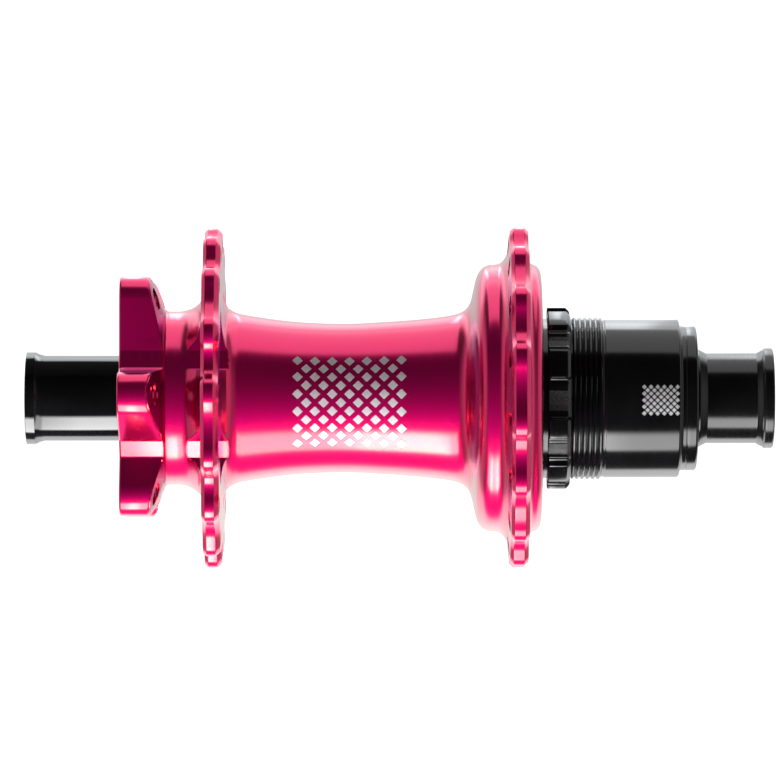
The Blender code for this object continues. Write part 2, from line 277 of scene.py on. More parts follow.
def flange_outline(inset, hole_r, lobe_r, phase, lean_deep, lean_shallow):
    """Lobes joined by hollows that are tangent to them; every second hollow is the deeper one. The leans say
    how many degrees a lobe's arc turns on, past the direction of the gap beside it."""
    step = 360.0 / SPOKE_LOBES
    half = radians(step / 2)
    points = []
    for i in range(SPOKE_LOBES):
        after, before = (lean_deep, lean_shallow) if i % 2 == 0 else (lean_shallow, lean_deep)
        centre = phase + i * step
        cf, cz = hole_r * cos(radians(centre)), hole_r * sin(radians(centre))
        points += arc(cf, cz, lobe_r - inset, centre - step / 2 - before, centre + step / 2 + after, 24)
        reach = hole_r * sin(half) / sin(radians(after))
        middle = centre + step / 2
        away = hole_r * cos(half) + reach * cos(radians(after))
        vf, vz = away * cos(radians(middle)), away * sin(radians(middle))
        hollow = arc(vf, vz, reach - lobe_r + inset, middle + 180 + after, middle + 180 - after, 16)
        points += hollow[1:-1]
    return points


def pocket_corners():
    """The two ends of the pocket floor between a disc arm at 0 degrees and the one below it."""
    return turn2d([(FLOOR_R, 2.0), (FLOOR_R, -1.9)], -36.6)


def disc_outline():
    """Six arms of the disc mount, counterclockwise, with softened pocket corners."""
    sector = arc(DISC_BOLT_R, 0.0, DISC_LOBE_R, 78, -58, 40)
    upper, lower = pocket_corners()
    nxt = turn2d([(DISC_BOLT_R + DISC_LOBE_R * cos(radians(78)), DISC_LOBE_R * sin(radians(78)))],
                 -ARM_STEP_DEG)[0]
    sector += fillet(sector[-1], upper, lower, 0.9, 5) + fillet(upper, lower, nxt, 0.7, 5)
    points = []
    for k in range(DISC_ARMS):
        points += turn2d(sector, FRONT_ARM_DEG - ARM_STEP_DEG * k)
    return points[::-1]


def root_pocket_radius(count):
    """How deep the six milled pockets reach into the roundings beside the left flange."""
    upper, lower = pocket_corners()
    outline = [upper, lower, (16.6, -20.6), (27.0, -17.0), (27.3, -1.4)]
    reach = np.full(count, 1e3)
    for k in range(DISC_ARMS):
        turned_outline = turn2d(outline, FRONT_ARM_DEG - ARM_STEP_DEG * k)
        reach = np.minimum(reach, outline_radius(turned_outline, count, nearest=True))
    return reach


def edge_round(size, steps=4):
    """(along, inset) pairs of a quarter-round edge, from the face to the side."""
    return [(size * (1 - cos(a)), size * (1 - sin(a))) for a in np.linspace(0, pi / 2, steps)]


BARREL = through([
    (-34.1, 18.0), (-33.3, 17.42), (-32.5, 17.02), (-31.7, 16.72), (-30.1, 16.42), (-28.5, 16.16),
    (-25.3, 15.68), (-20.6, 15.14), (-15.8, 14.86), (-11.8, 14.78), (-7.9, 14.84), (-4.7, 15.02),
    (0.0, 15.32), (3.3, 15.58), (6.4, 15.88), (9.6, 16.32), (11.2, 16.66), (12.0, 16.95), (12.8, 17.4),
    (13.5, 18.1), (14.1, 19.3), (14.6, 21.4), (15.0, 23.2), (15.4, 24.4), (16.0, 25.4), (16.8, 26.1),
    (17.7, 26.42), (18.6, 26.5), (19.4, 26.6), (20.1, 26.95), (20.7, 27.6), (21.3, 28.6),
], 3)
NECK = through([(-45.0, 17.2), (-43.4, 17.22), (-42.0, 17.52), (-41.2, 17.95), (-40.4, 18.5), (-39.6, 19.3),
                (-39.1, 20.4), (-38.85, 21.6), (-38.68, 23.2)], 3)
ROOT = through([(-35.12, 23.2), (-35.0, 21.5), (-34.8, 20.0), (-34.5, 18.9), (-34.1, 18.0)], 3)
BELL_RIM = through([(25.48, 28.2), (25.55, 27.5), (25.75, 27.0), (26.05, 26.72), (26.55, 26.5), (27.0, 26.3),
                    (27.4, 25.95), (27.75, 25.4), (27.93, 24.8), (28.0, 24.3)], 3)
SHELL_INSIDE = [
    (28.0, 21.0), (27.7, 20.62), (20.5, 20.62), (20.5, 15.17), (12.7, 15.17), (12.7, 12.8), (11.2, 12.2),
    (-45.4, 12.2), (-47.0, 12.8), (-47.0, 15.17), (-54.75, 15.17), (DISC_FACE_X, 15.5),
]


def shell_rows(count):
    """The shell's section from the disc face to the bell's rim and back through the inside."""
    rows = []
    arms = disc_outline()
    for along, inset in edge_round(DISC_EDGE):
        rows.append((DISC_FACE_X + along, outline_radius(inset_outline(arms, inset), count)))
    full = outline_radius(arms, count)
    cone = [(DISC_CONE_APEX_X - DISC_CONE_SLOPE * r, r) for r in (30.0, 24.0, 20.0, 18.6)]
    corner = (DISC_CONE_APEX_X - DISC_CONE_SLOPE * NECK_R, NECK_R)
    curve = cone + fillet(cone[-1], corner, (-43.4, NECK_R), 1.5, 6)
    curve_x = np.array([x for x, _ in curve])[::-1]
    curve_r = np.array([r for _, r in curve])[::-1]
    weight = np.clip((full - 18.0) / 1.2, 0, 1)
    for along, inset in reversed(edge_round(DISC_EDGE)):
        shrunk = outline_radius(inset_outline(arms, inset), count)
        r = full + weight * (shrunk - full)
        rows.append((np.interp(full, curve_r, curve_x) - weight * along, r))
    edge = rows[-1][1]
    for r in [26.0, 24.0, 22.0, 20.0, 19.0] + [r for _, r in curve[4:]]:
        limited = np.minimum(edge, r)
        rows.append((np.interp(limited, curve_r, curve_x), limited))
    pocket = root_pocket_radius(count)
    rows += [(x, np.minimum(r, pocket)) for x, r in NECK]
    rows += flange_rows(LEFT_FLANGE, (0.7, 1.0), LEFT_LOBES, count)
    rows += [(x, np.minimum(r, pocket)) for x, r in ROOT]
    rows += [(x, np.minimum(r, pocket) if x < -32.5 else r) for x, r in BARREL[1:]]
    rows += flange_rows(RIGHT_FLANGE, (0.75, 0.85), RIGHT_LOBES, count)
    rows += BELL_RIM + rounded(SHELL_INSIDE, 0.25, closed=False)
    return rows


def flange_rows(span, chamfers, lobes, count):
    """The flange's rim: a flat with a chamfer on either side, all edges slightly softened."""
    (x0, x1), (left, right) = span, chamfers
    section = rounded([(x0, 2.5), (x0, left), (x0 + left, 0.0), (x1 - right, 0.0), (x1, right), (x1, 2.5)],
                      0.35, closed=False)[1:-1]
    return [(x, outline_radius(flange_outline(inset, **lobes), count)) for x, inset in section]


def spoke_drills(bm, span, lobes):
    """Spoke holes with a countersink on both faces."""
    x0, x1 = span
    profile = [(x0 - 0.5, 2.3), (x0 + 0.5, 1.3), (x1 - 0.5, 1.3), (x1 + 0.5, 2.3)]
    for i in range(SPOKE_LOBES):
        a = radians(lobes["phase"] + i * 360.0 / SPOKE_LOBES)
        drill_into(bm, lobes["hole_r"] * cos(a), lobes["hole_r"] * sin(a), profile)


def disc_drills(bm):
    """Threaded M5 holes with a countersunk mouth."""
    profile = [(DISC_FACE_X - 0.5, 3.0), (DISC_FACE_X + 0.4, 2.1)]
    x = DISC_FACE_X + 0.6
    while x < -45.6:
        profile += [(x, 2.1), (x + 0.4, 2.4)]
        x += 0.8
    profile.append((x, 2.1))
    for k in range(DISC_ARMS):
        a = radians(FRONT_ARM_DEG + ARM_STEP_DEG * k)
        drill_into(bm, DISC_BOLT_R * cos(a), DISC_BOLT_R * sin(a), profile)


def hub_shell():
    shell = skin("shell_body", shell_rows(SHELL_STEPS), SHELL_STEPS)
    bm = bmesh.new()
    spoke_drills(bm, LEFT_FLANGE, LEFT_LOBES)
    spoke_drills(bm, RIGHT_FLANGE, RIGHT_LOBES)
    disc_drills(bm)
    cut(shell, bm)
    return shell


def barrel_mark():
    """A field of small diamonds etched on the front of the barrel, a hair above the dyed surface."""
    pitch, x_mid, s_mid, half_x, half_s, radius = 3.4, -9.85, -0.9, 11.0, 10.0, 14.9
    share = 0.72
    curve_x, curve_r = zip(*BARREL)
    bm = bmesh.new()
    reach = int(2 * max(half_x, half_s) / pitch) + 2
    steps = 6
    for a in range(-reach, reach):
        for b in range(-reach, reach):
            p, q = (a + b + 1) / 2, (a - b) / 2
            if abs(p) > half_x / pitch or abs(q) > half_s / pitch:
                continue
            grid = {}
            for i in range(steps + 1):
                for j in range(steps + 1):
                    u, v = share * (i / steps - 0.5), share * (j / steps - 0.5)
                    x = x_mid + pitch * (p + (u + v) / 2)
                    turn = (s_mid + pitch * (q + (u - v) / 2)) / radius
                    rim = i in (0, steps) or j in (0, steps)
                    r = np.interp(x, curve_x, curve_r) + (-0.01 if rim else 0.012)
                    grid[i, j] = bm.verts.new((x * MM, -r * cos(turn) * MM, r * sin(turn) * MM))
            for i in range(steps):
                for j in range(steps):
                    bm.faces.new((grid[i, j], grid[i + 1, j], grid[i + 1, j + 1], grid[i, j + 1]))
    return finish_mesh("barrel_mark", bm, 60.0)


# ================================================================ freehub body

def lug_outline(inset, scale=1.0):
    """Eight wide splines and a narrow one on the valley floor, counterclockwise."""
    points = []
    for k in range(SPLINES):
        narrow = k == SPLINES - 1
        centre, half = (339.8, 2.05) if narrow else (22.8 + 40 * k, 3.0)
        top = SPLINE_CROWN_R - inset
        side = half - inset
        edge = (top ** 2 - side ** 2) ** 0.5
        crown = degrees(asin(side / top)) - 1.6
        lug = [(SPLINE_VALLEY_R, -side - 1.1), (16.55, -side - 0.45), (16.75, -side - 0.12),
               (17.1, -side - 0.03)]
        lug += fillet((16.8, -side), (edge, -side), (top, 0.0), 0.3, 5)
        lug += arc(0, 0, top, -crown, crown, 8)
        lug += fillet((top, 0.0), (edge, side), (16.8, side), 0.3, 5)
        lug += [(17.1, side + 0.03), (16.75, side + 0.12), (16.55, side + 0.45),
                (SPLINE_VALLEY_R, side + 1.1)]
        points += turn2d([(f * scale, z * scale) for f, z in lug], centre)
        points += arc(0, 0, SPLINE_VALLEY_R * scale, centre + 16, centre + 20, 3)
    return points


def thread_rows(count, start, crests, pitch, root, crest):
    """A helical thread that runs out at both ends."""
    theta = angles(count)
    steps = 10
    rows = []
    length = crests * pitch
    for i in range(int(ceil(crests * steps)) + 1):
        x = start + i * pitch / steps
        phase = ((x - start) / pitch - theta / (2 * pi)) % 1.0
        height = np.clip(1.35 - 2.7 * np.abs(phase - 0.5), 0, 1)
        fade = np.clip(min((x - start) / 0.35, (start + length - x) / 0.35), 0, 1)
        rows.append((x, root + (crest - root) * height * fade))
    return rows


def freehub_rows(count):
    """The driver's section: pawl carrier, collar, splines, thread, barrel and seat, then back inside."""
    rows = [(20.7, 15.9), (21.1, 16.4), (26.9, 16.4), (27.0, 16.3), (27.0, 15.9), (27.1, 15.9),
            (28.95, 15.9), (29.1, 15.9), (29.2, 16.0)]
    for along, inset in edge_round(0.22):
        rows.append((29.25 + along, outline_radius(lug_outline(inset), count)))
    rows.append((32.85, outline_radius(lug_outline(0.0), count)))
    chamfer = ((33.0, 0.04, 0.998), (33.45, 0.12, 0.98), (33.7, 0.2, 0.965), (33.78, 0.3, 0.955))
    for x, inset, scale in chamfer:
        rows.append((x, outline_radius(lug_outline(inset, scale), count)))
    rows += [(33.8, 15.7)]
    rows += thread_rows(count, start=33.82, crests=6.0, pitch=1.05, root=15.62, crest=16.15)
    rows += rounded([
        (40.2, 15.6), (40.45, 15.62), (40.6, 15.72), (55.32, 15.72), (55.36, 14.34), (56.4, 14.34),
        (56.46, 14.24), (56.6, 14.24), (56.66, 14.34), (58.75, 14.34), (58.75, 12.6), (58.45, 12.15),
    ], 0.55, closed=False)
    rows += [(58.45, 12.75), (57.8, 12.75), (57.8, 12.15), (52.4, 12.15), (52.4, 10.6), (26.6, 10.6),
             (26.6, 12.15), (20.9, 12.15), (20.7, 12.35)]
    return rows


def freehub():
    """The driver, with a pocket for each pawl cut into its carrier."""
    body = skin("driver_body", freehub_rows(DRIVER_STEPS), DRIVER_STEPS)
    bm = bmesh.new()
    for k in range(PAWLS):
        outline = arc(0, 0, 1.65, 180, 262, 8) + [(1.3, -1.8), (6.55, -1.8), (6.55, 2.6), (-1.65, 2.6)]
        placed = [(PAWL_PIVOT_R + v, u) for u, v in outline]
        prism_into(bm, turn2d(placed, 30 + 360 / PAWLS * k), 21.3, 26.5)
    cut(body, bm)
    return body


# ================================================================ turned pieces

LEFT_CAP = [
    (-54.65, 7.8), (-68.5, 7.8), (-68.5, BORE_R), (-74.0, BORE_R), (-74.0, 9.15), (-72.15, 9.15),
    (-71.5, 8.8), (-70.4, 8.48), (-55.5, 8.48), (-55.4, 9.9), (-54.65, 9.9),
]
RIGHT_CAP = [
    (57.9, 7.8), (57.9, 8.8), (58.95, 8.8), (58.95, 9.7), (59.3, 9.7), (59.9, 9.4), (60.8, 8.95),
    (70.6, 8.95), (71.4, 9.4), (71.75, 9.62), (71.85, 9.52), (71.95, 9.6), (72.2, 9.93), (73.75, 9.93),
    (74.0, 9.7), (74.0, BORE_R), (68.5, BORE_R), (68.5, 7.8),
]
AXLE = [
    (-68.2, 7.35), (-64.6, 7.35), (-64.6, 6.65), (-63.4, 6.65), (-63.4, 7.35), (-54.5, 7.35),
    (-54.5, 8.35), (-47.0, 8.35), (-47.0, 9.6), (-45.6, 9.6), (-44.6, 8.6), (10.4, 8.6), (11.4, 9.6),
    (12.7, 9.6), (12.7, 8.35), (20.2, 8.35), (20.2, 7.35), (63.4, 7.35), (63.4, 6.65), (64.6, 6.65),
    (64.6, 7.35), (68.2, 7.35), (68.2, 6.1), (-68.2, 6.1),
]
DUST_SHIELD = [
    (-54.5, 10.3), (-54.95, 10.3), (-54.95, 10.9), (-54.82, 11.1), (-54.82, 14.0), (-54.95, 14.2),
    (-54.95, 14.75), (-54.5, 14.75),
]
LIP_SEAL = [
    (27.25, 16.1), (27.25, 19.6), (27.55, 20.1), (27.95, 20.1), (27.95, 19.3), (27.75, 19.0), (27.75, 17.1),
    (27.95, 16.9), (27.95, 16.1),
]
STEP_SPACER = [(20.35, 7.7), (20.35, 9.3), (21.1, 9.3), (21.1, 7.7)]
BEARING_SPACER = [(26.7, 7.7), (26.7, 8.8), (52.3, 8.8), (52.3, 7.7)]
# name: (start x, width, inner ring's bore r, outer ring's outside r, pitch circle r, ball r)
BEARINGS = {
    "left_shell_bearing": (-54.3, 7.0, 8.65, 14.85, 11.75, 1.9),
    "right_shell_bearing": (13.0, 7.0, 8.65, 14.85, 11.75, 1.9),
    "inner_freehub_bearing": (21.4, 5.0, 7.65, 11.85, 9.75, 1.2),
    "outer_freehub_bearing": (52.6, 5.0, 7.65, 11.85, 9.75, 1.2),
}


def place(piece, nodes, finish):
    """Give a piece its finish and let it stand for CAD nodes on their body."""
    piece.data.materials.clear()
    piece.data.materials.append(finish)
    body = frame["nodes"][nodes[0]]["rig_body"]
    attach(piece, body)
    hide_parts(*nodes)
    return piece


def turned(node, profile, finish, radius=0.15, count=160):
    piece = skin("fine_" + node, rounded(profile, radius), count)
    return place(piece, [node], finish)


def race(node, x, width, bore, track_side, pitch_r, ball_r, finish):
    """A bearing ring with a round groove; track_side is -1 for the inner ring and 1 for the outer."""
    middle, end = x + width / 2, x + width
    land = pitch_r + track_side * ball_r * LAND_SHARE
    mouth, track_r = ball_r * 0.86, ball_r * 1.08
    groove = []
    for t in np.linspace(-1, 1, 9):
        depth = track_r * (1 - (t * mouth / track_r) ** 2) ** 0.5
        groove.append((middle + t * mouth, pitch_r + track_side * max(depth, ball_r * LAND_SHARE)))
    lead = bore - track_side * 0.3
    rows = [(x + 0.3, bore), (x, lead), (x, land)] + groove + [(end, land), (end, lead), (end - 0.3, bore)]
    place(skin("fine_" + node, rows, 128), [node], finish)


def ball_set(node, x, width, pitch_r, ball_r, finish):
    """Balls and the cage band between them."""
    middle = x + width / 2
    bm = bmesh.new()
    for i in range(BALLS):
        a = 2 * pi * i / BALLS
        spot = Matrix.Translation((middle * MM, -pitch_r * cos(a) * MM, pitch_r * sin(a) * MM))
        bmesh.ops.create_icosphere(bm, subdivisions=3, radius=ball_r * MM, matrix=spot)
    band = [(middle - 0.45, pitch_r - 0.35), (middle - 0.45, pitch_r + 0.35),
            (middle + 0.45, pitch_r + 0.35), (middle + 0.45, pitch_r - 0.35)]
    count = 96
    rings = []
    for px, pr in rounded(band, 0.12):
        rings.append([bm.verts.new((px * MM, -pr * cos(a) * MM, pr * sin(a) * MM)) for a in angles(count)])
    for i, ring in enumerate(rings):
        nxt = rings[(i + 1) % len(rings)]
        for j in range(count):
            k = (j + 1) % count
            bm.faces.new((ring[j], ring[k], nxt[k], nxt[j]))
    place(finish_mesh("fine_" + node, bm), [node], finish)


def bearing(name, steel, rubber):
    """Both rings, the balls in their cage, and a seal on either side."""
    x, width, inner, outer, pitch_r, ball_r = BEARINGS[name]
    race(name + "_inner_race", x, width, inner, -1, pitch_r, ball_r, steel)
    race(name + "_outer_race", x, width, outer, 1, pitch_r, ball_r, steel)
    ball_set(name + "_ball_set", x, width, pitch_r, ball_r, steel)
    land = ball_r * LAND_SHARE
    low, high = pitch_r - land + 0.25, pitch_r + land - 0.3
    for side, start in (("left", x + 0.1), ("right", x + width - 0.5)):
        out = start if side == "left" else start + 0.4
        inn = start + 0.4 if side == "left" else start
        groove = 0.1 if side == "left" else -0.1
        profile = [(inn, low), (out, low), (out, low + 0.5), (out + groove, low + 0.65),
                   (out + groove, high - 0.55), (out, high - 0.4), (out, high), (inn, high)]
        turned(f"{name}_{side}_seal", profile, rubber, 0.06, 96)


# ================================================================ finishes

class Tree:
    """A few short words for building a node tree."""

    def __init__(self, tree):
        self.tree = tree

    def node(self, kind, **settings):
        made = self.tree.nodes.new(kind)
        for key, value in settings.items():
            setattr(made, key, value)
        return made

    def put(self, value, socket):
        if isinstance(value, bpy.types.NodeSocket):
            self.tree.links.new(value, socket)
        else:
            socket.default_value = value

    def math(self, operation, a, b=0.0):
        made = self.node("ShaderNodeMath", operation=operation)
        for value, socket in zip((a, b), made.inputs):
            self.put(value, socket)
        return made.outputs[0]

    def noise(self, coords, scale, detail=3.0, rough=0.55):
        made = self.node("ShaderNodeTexNoise")
        self.put(coords, made.inputs["Vector"])
        made.inputs["Scale"].default_value = scale
        made.inputs["Detail"].default_value = detail
        made.inputs["Roughness"].default_value = rough
        return made.outputs["Fac"]

    def stretch(self, coords, scale):
        made = self.node("ShaderNodeMapping")
        self.put(coords, made.inputs["Vector"])
        made.inputs["Scale"].default_value = scale
        return made.outputs[0]

    def span(self, value, low, high, to_low=0.0, to_high=1.0, kind="LINEAR"):
        made = self.node("ShaderNodeMapRange", interpolation_type=kind)
        for v, socket in zip((value, low, high, to_low, to_high), made.inputs):
            self.put(v, socket)
        return made.outputs[0]

    def blend(self, factor, a, b):
        made = self.node("ShaderNodeMix", data_type="RGBA")
        self.put(factor, made.inputs[0])
        self.put(a, made.inputs[6])
        self.put(b, made.inputs[7])
        return made.outputs[2]

    def bump(self, height, strength, distance, under=None):
        made = self.node("ShaderNodeBump")
        made.inputs["Strength"].default_value = strength
        made.inputs["Distance"].default_value = distance
        self.put(height, made.inputs["Height"])
        if under is not None:
            self.put(under, made.inputs["Normal"])
        return made.outputs[0]


def new_finish(name):
    mat = bpy.data.materials.new(name)
    mat.use_nodes = True
    tree = Tree(mat.node_tree)
    shader = mat.node_tree.nodes["Principled BSDF"]
    coords = tree.node("ShaderNodeTexCoord").outputs["Object"]
    parts = tree.node("ShaderNodeSeparateXYZ")
    tree.put(coords, parts.inputs[0])
    return mat, tree, shader, coords, parts.outputs


def diamond_mark(tree, xyz, x_mid, s_mid, pitch, half_x, half_s, radius):
    """Mask of a field of whole diamonds wrapped on a barrel; x along the axis, s round it, in millimetres."""
    x = tree.math("DIVIDE", xyz[0], MM)
    front = tree.math("MULTIPLY", xyz[1], -1.0)
    s = tree.math("MULTIPLY", tree.math("ARCTAN2", xyz[2], front), radius)
    p = tree.math("DIVIDE", tree.math("SUBTRACT", x, x_mid), pitch)
    q = tree.math("DIVIDE", tree.math("SUBTRACT", s, s_mid), pitch)
    both = tree.math("ADD", p, q)
    differ = tree.math("SUBTRACT", p, q)
    cell_a = tree.math("ADD", tree.math("FLOOR", both), 0.5)
    cell_b = tree.math("ADD", tree.math("FLOOR", differ), 0.5)
    reach = tree.math("MAXIMUM", tree.math("ABSOLUTE", tree.math("SUBTRACT", both, cell_a)),
                      tree.math("ABSOLUTE", tree.math("SUBTRACT", differ, cell_b)))
    inside = tree.span(reach, 0.36, 0.38, 1.0, 0.0)
    row = tree.math("ABSOLUTE", tree.math("ADD", cell_a, cell_b))
    column = tree.math("ABSOLUTE", tree.math("SUBTRACT", cell_a, cell_b))
    field = tree.math("MULTIPLY", tree.math("LESS_THAN", row, 2 * half_x / pitch),
                      tree.math("LESS_THAN", column, 2 * half_s / pitch))
    return tree.math("MULTIPLY", inside, field)


def pink_finish():
    mat, tree, shader, coords, _ = new_finish("pink_anodised_with_painted_reflection")
    cloud = tree.noise(coords, 90.0, 3.0)
    dye = tree.blend(tree.span(cloud, 0.35, 0.65), (0.80, 0.004, 0.118, 1), (0.77, 0.005, 0.128, 1))
    # Painted reflection: wherever the shell is seen in a glossy reflection, on itself or on other pieces, its
    # dye is swapped for a darker, bluer magenta. This colour stands in for pink light bounced between pink
    # surfaces; it is not the shell's own colour.
    glossy_ray_painted_reflection = tree.node("ShaderNodeLightPath").outputs["Is Glossy Ray"]
    tree.put(tree.blend(glossy_ray_painted_reflection, dye, (0.55, 0.0, 0.27, 1)), shader.inputs["Base Color"])
    shader.inputs["Metallic"].default_value = 1.0
    fine = tree.noise(tree.stretch(coords, (6000.0, 160.0, 160.0)), 1.0, 2.0)
    tree.put(tree.span(fine, 0.3, 0.7, 0.20, 0.27), shader.inputs["Roughness"])
    shader.inputs["Coat Weight"].default_value = 1.0
    shader.inputs["Coat Roughness"].default_value = 0.16
    shader.inputs["Coat IOR"].default_value = 1.5
    tree.put(tree.bump(fine, 0.10, 0.00002), shader.inputs["Normal"])
    return mat


def etched_finish():
    """Bare aluminium with the dye burnt off by a laser: pale, matt and finely grained."""
    mat, tree, shader, coords, _ = new_finish("etched_aluminium")
    grain = tree.noise(coords, 5200.0, 2.0)
    tree.put(tree.blend(tree.span(grain, 0.3, 0.7), (0.76, 0.76, 0.77, 1), (0.88, 0.88, 0.89, 1)),
             shader.inputs["Base Color"])
    shader.inputs["Metallic"].default_value = 0.15
    tree.put(tree.span(grain, 0.3, 0.7, 0.48, 0.62), shader.inputs["Roughness"])
    tree.put(tree.bump(grain, 0.2, 0.00002), shader.inputs["Normal"])
    return mat


def black_finish(name, rough_low, rough_high, turned_lines, marked=False):
    mat, tree, shader, coords, xyz = new_finish(name)
    cloud = tree.noise(coords, 120.0, 3.0)
    colour = tree.blend(tree.span(cloud, 0.35, 0.65), (0.0035, 0.0035, 0.004, 1), (0.006, 0.006, 0.0068, 1))
    fine = tree.noise(tree.stretch(coords, (4200.0, 120.0, 120.0)), 1.0, 2.5)
    rough = tree.span(fine, 0.3, 0.7, rough_low, rough_high)
    normal = tree.bump(fine, turned_lines, 0.00003)
    if marked:
        mark = diamond_mark(tree, xyz, x_mid=51.2, s_mid=-0.4, pitch=1.3, half_x=3.5, half_s=2.7, radius=15.7)
        colour = tree.blend(mark, colour, (0.62, 0.62, 0.63, 1))
        rough = tree.math("ADD", rough, tree.math("MULTIPLY", mark, 0.25))
        normal = tree.bump(mark, 0.2, 0.00002, normal)
    tree.put(colour, shader.inputs["Base Color"])
    tree.put(rough, shader.inputs["Roughness"])
    shader.inputs["IOR"].default_value = 1.55
    tree.put(normal, shader.inputs["Normal"])
    return mat


def blasted_finish():
    """Matt, bead-blasted black of the spline valleys."""
    mat, tree, shader, coords, _ = new_finish("black_blasted")
    grain = tree.noise(coords, 2600.0, 4.0, 0.7)
    colour = tree.blend(tree.span(grain, 0.35, 0.65), (0.006, 0.006, 0.0065, 1), (0.07, 0.07, 0.073, 1))
    tree.put(colour, shader.inputs["Base Color"])
    tree.put(tree.span(grain, 0.3, 0.7, 0.30, 0.46), shader.inputs["Roughness"])
    tree.put(tree.bump(grain, 0.8, 0.00010), shader.inputs["Normal"])
    return mat


def metal_finish(name, light, dark, rough_low, rough_high, grind):
    """Ground or turned bare metal with fine lines round the axis."""
    mat, tree, shader, coords, _ = new_finish(name)
    lines = tree.noise(tree.stretch(coords, grind), 1.0, 3.0)
    cloud = tree.noise(coords, 150.0, 2.0)
    tree.put(tree.blend(tree.span(cloud, 0.35, 0.65), (*dark, 1), (*light, 1)), shader.inputs["Base Color"])
    shader.inputs["Metallic"].default_value = 1.0
    tree.put(tree.span(lines, 0.3, 0.7, rough_low, rough_high), shader.inputs["Roughness"])
    tree.put(tree.bump(lines, 0.25, 0.00003), shader.inputs["Normal"])
    return mat


def rubber_finish():
    mat, tree, shader, coords, _ = new_finish("seal_rubber_fine")
    grain = tree.noise(coords, 1500.0, 4.0, 0.6)
    tree.put(tree.blend(grain, (0.012, 0.012, 0.013, 1), (0.03, 0.03, 0.031, 1)), shader.inputs["Base Color"])
    tree.put(tree.span(grain, 0.3, 0.7, 0.5, 0.68), shader.inputs["Roughness"])
    tree.put(tree.bump(grain, 0.3, 0.00004), shader.inputs["Normal"])
    return mat


# ================================================================ studio

def ramp_value(tree, position, stops, top=1.0):
    """A curve of brightness, up to top, over an angle in degrees."""
    made = tree.node("ShaderNodeValToRGB")
    tree.put(position, made.inputs[0])
    elements = made.color_ramp.elements
    while len(elements) > 1:
        elements.remove(elements[0])
    for i, (deg, value) in enumerate(stops):
        element = elements[0] if i == 0 else elements.new((deg + 180) / 360)
        element.position = (deg + 180) / 360
        element.color = (value / top, value / top, value / top, 1)
    return tree.math("MULTIPLY", made.outputs[0], top)


SURROUND = [(-180, 0.60), (-128, 0.60), (-123, 0.20), (-116, 0.05), (-90, 0.04), (-45, 0.03), (0, 0.02),
            (30, 0.02), (60, 0.02), (68, 0.05), (116, 0.10), (124, 0.85), (135, 1.0), (150, 0.95),
            (165, 0.80), (180, 0.60)]


def studio_light():
    """The pale studio round the hub: dim on the viewer's side, bright behind and at both ends."""
    world = bpy.data.worlds.new("studio")
    bpy.context.scene.world = world
    world.use_nodes = True
    tree = Tree(world.node_tree)
    back = world.node_tree.nodes["Background"]
    _, side, turn = turn_and_side(tree, "Generated")
    ends = tree.span(side, 0.60, 0.92, 0.0, 1.0, "SMOOTHSTEP")
    total = tree.math("MULTIPLY", ramp_value(tree, turn, SURROUND), tree.math("SUBTRACT", 1.0, ends))
    total = tree.math("ADD", total, tree.math("MULTIPLY", ends, 0.62))
    back.inputs["Color"].default_value = (*WHITE, 1)
    tree.put(total, back.inputs["Strength"])


def turn_and_side(tree, output):
    """x, its size, and the angle about the hub axis as 0 to 1, with 0.5 straight towards the viewer."""
    parts = tree.node("ShaderNodeSeparateXYZ")
    tree.put(tree.node("ShaderNodeTexCoord").outputs[output], parts.inputs[0])
    x, y, z = parts.outputs
    angle = tree.math("ARCTAN2", z, tree.math("MULTIPLY", y, -1.0))
    turn = tree.math("ADD", tree.math("MULTIPLY", angle, 1 / (2 * pi)), 0.5)
    return x, tree.math("ABSOLUTE", x), turn


def softbox(name, radius, reach, stops, strength, colour, lit, along=None):
    """A softbox bent about the hub axis, with soft edges. It lets other light through, the viewer doesn't see
    it, and it lights the pieces in lit, or all when that is None. along(tree, x) scales it along the axis.
    No two have the same radius, so that none lies in another."""
    half, steps = 0.45, 24
    bm = bmesh.new()
    rails = []
    for side in (-half, half):
        turns = np.radians(np.linspace(stops[0][0], stops[-1][0], steps + 1))
        rails.append([bm.verts.new((side, -radius * cos(a), radius * sin(a))) for a in turns])
    for i in range(steps):
        bm.faces.new((rails[0][i], rails[0][i + 1], rails[1][i + 1], rails[1][i]))
    ob = finish_mesh(name, bm)
    mat = bpy.data.materials.new(name)
    mat.use_nodes = True
    mat.node_tree.nodes.clear()
    tree = Tree(mat.node_tree)
    x, side, turn = turn_and_side(tree, "Object")
    top = max(value for _, value in stops)
    power = tree.math("MULTIPLY", ramp_value(tree, turn, stops, top), strength)
    power = tree.math("MULTIPLY", power, tree.span(side, reach, reach + 0.1, 1.0, 0.0, "SMOOTHSTEP"))
    if along is not None:
        power = tree.math("MULTIPLY", power, along(tree, x))
    glow = tree.node("ShaderNodeEmission")
    glow.inputs["Color"].default_value = (*colour, 1)
    tree.put(power, glow.inputs["Strength"])
    both = tree.node("ShaderNodeAddShader")
    tree.put(glow.outputs[0], both.inputs[0])
    tree.put(tree.node("ShaderNodeBsdfTransparent").outputs[0], both.inputs[1])
    tree.put(both.outputs[0], tree.node("ShaderNodeOutputMaterial").inputs["Surface"])
    ob.data.materials.append(mat)
    ob.visible_camera = False
    ob.visible_shadow = False
    if lit is not None:
        ob.light_linking.receiver_collection = lit


def collection(name, objects):
    group = bpy.data.collections.new(name)
    for ob in objects:
        group.objects.link(ob)
    return group


